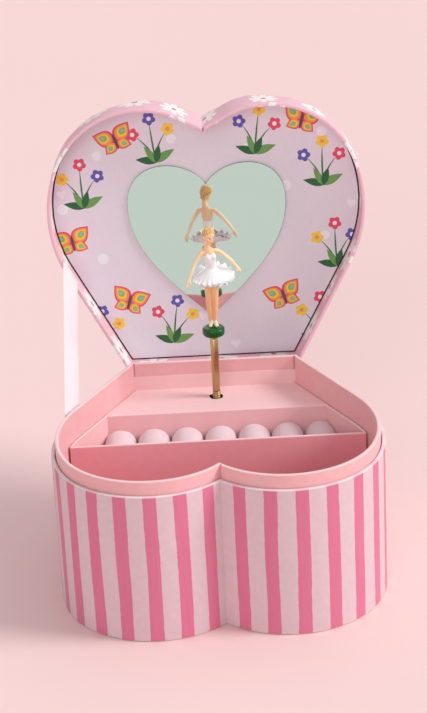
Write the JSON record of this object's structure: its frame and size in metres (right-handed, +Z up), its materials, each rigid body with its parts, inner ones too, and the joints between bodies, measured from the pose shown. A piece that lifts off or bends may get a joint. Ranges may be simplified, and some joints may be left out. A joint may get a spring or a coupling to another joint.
{
  "type": "music box",
  "caption": "Heart shaped wind up music box with a hinged mirrored lid, a folding turning dancer, a ring roll tray and a cylinder movement.",
  "frame": {"origin": "point on the underside, midway across the heart at its widest line", "axes": "+X to the viewer's right when facing the mirror, +Y towards the hinge, +Z up"},
  "size_m": [0.16, 0.1692, 0.2128],
  "materials": {
    "striped_paper": "satin printed paper over board",
    "grey_card": "paper covered board",
    "pink_paper": "satin paper over board",
    "lid_paper": "satin printed paper over board",
    "lining_paper": "satin printed paper",
    "mirror": "polished",
    "hinge_paper": "satin",
    "satin": "satin weave",
    "velvet": "short pile",
    "brass": "polished",
    "green_plastic": "glossy",
    "slipper_cream": "painted",
    "doll_skin": "painted",
    "doll_white": "painted",
    "doll_hair": "painted",
    "steel": "brushed",
    "blue_steel": "oil dark"
  },
  "bodies": {
    "box": {"outer_shell": "striped_paper", "base_board": "grey_card", "inner_collar": "pink_paper", "floor_liner": "pink_paper", "insert_deck": "pink_paper", "insert_back_flange": "pink_paper", "insert_front_wall": "pink_paper", "tray_floor": "pink_paper", "tray_end_left": "pink_paper", "tray_end_right": "pink_paper", "divider": "pink_paper", "ring_roll_1": "velvet", "ring_roll_2": "velvet", "ring_roll_3": "velvet", "ring_roll_4": "velvet", "ring_roll_5": "velvet", "ring_roll_6": "velvet", "ring_roll_7": "velvet", "hinge_cloth_base": "hinge_paper", "ribbon_stay": "satin", "spindle_bracket": "steel", "bedplate": "steel", "front_plate": "steel", "plate_pillars": "brass", "spring_barrel": "brass", "mainspring": "blue_steel", "comb": "steel", "comb_bracket": "steel", "comb_screws": "steel", "governor_frame": "steel", "mounting_screws": "steel"},
    "lid": {"lid_rim": "lid_paper", "lid_top_board": "lid_paper", "lid_lining_panel": "lining_paper", "lid_mirror": "mirror", "hinge_cloth_lid": "hinge_paper"},
    "spindle": {"spindle_shaft": "brass", "spindle_pinion": "brass"},
    "fold_link": {"fold_spring": "brass"},
    "figure": {"stand_tube": "brass", "stand_disc": "green_plastic", "figure_slippers": "slipper_cream", "figure_body": "doll_skin", "figure_tutu": "doll_white", "figure_hair": "doll_hair"},
    "winding": {"winding_arbor": "steel", "great_wheel": "brass", "crown_wheel": "brass", "winding_key": "brass"},
    "cylinder": {"music_cylinder": "brass", "cylinder_arbor": "steel", "cylinder_wheels": "brass"},
    "governor": {"governor_wheel": "brass"},
    "air_brake": {"worm_fan": "brass"}
  },
  "joints": [
    {"name": "lid_hinge", "type": "hinge", "parent": "box", "child": "lid", "pos_m": [0, 0.084, 0.0766], "axis": [1, 0, 0], "range_deg": [0, 96], "deforming": ["ribbon_stay"]},
    {"name": "figure_fold", "type": "hinge", "parent": "box", "child": "fold_link", "pos_m": [0.0006, 0.068, 0.071], "axis": [1, 0, 0], "range_deg": [0, 88], "deforming": ["fold_spring"]},
    {"name": "figure_spin", "type": "hinge", "parent": "fold_link", "child": "figure", "pos_m": [0.0006, 0.068, 0.071], "axis": [0, 0, 1], "continuous": true},
    {"name": "spindle_spin", "type": "hinge", "parent": "box", "child": "spindle", "pos_m": [0.0006, 0.068, 0.05], "axis": [0, 0, 1], "continuous": true},
    {"name": "key_spin", "type": "hinge", "parent": "box", "child": "winding", "pos_m": [0.0006, 0.07, 0.036], "axis": [0, 1, 0], "continuous": true},
    {"name": "cylinder_spin", "type": "hinge", "parent": "box", "child": "cylinder", "pos_m": [0.0177, 0.063, 0.036], "axis": [0, 1, 0], "continuous": true},
    {"name": "governor_spin", "type": "hinge", "parent": "box", "child": "governor", "pos_m": [0.01918, 0.063, 0.04437], "axis": [0, 1, 0], "continuous": true},
    {"name": "air_brake_spin", "type": "hinge", "parent": "box", "child": "air_brake", "pos_m": [0.02338, 0.0742, 0.05], "axis": [0, 0, 1], "continuous": true}
  ],
  "couplings": [
    {"joint": "figure_fold", "follows": "lid_hinge", "ratio": 0.91667},
    {"joint": "spindle_spin", "follows": "cylinder_spin", "ratio": 1.25},
    {"joint": "figure_spin", "follows": "cylinder_spin", "ratio": 1.25},
    {"joint": "key_spin", "follows": "cylinder_spin", "ratio": -0.41667},
    {"joint": "governor_spin", "follows": "cylinder_spin", "ratio": -3.2},
    {"joint": "air_brake_spin", "follows": "cylinder_spin", "ratio": -51.2}
  ]
}
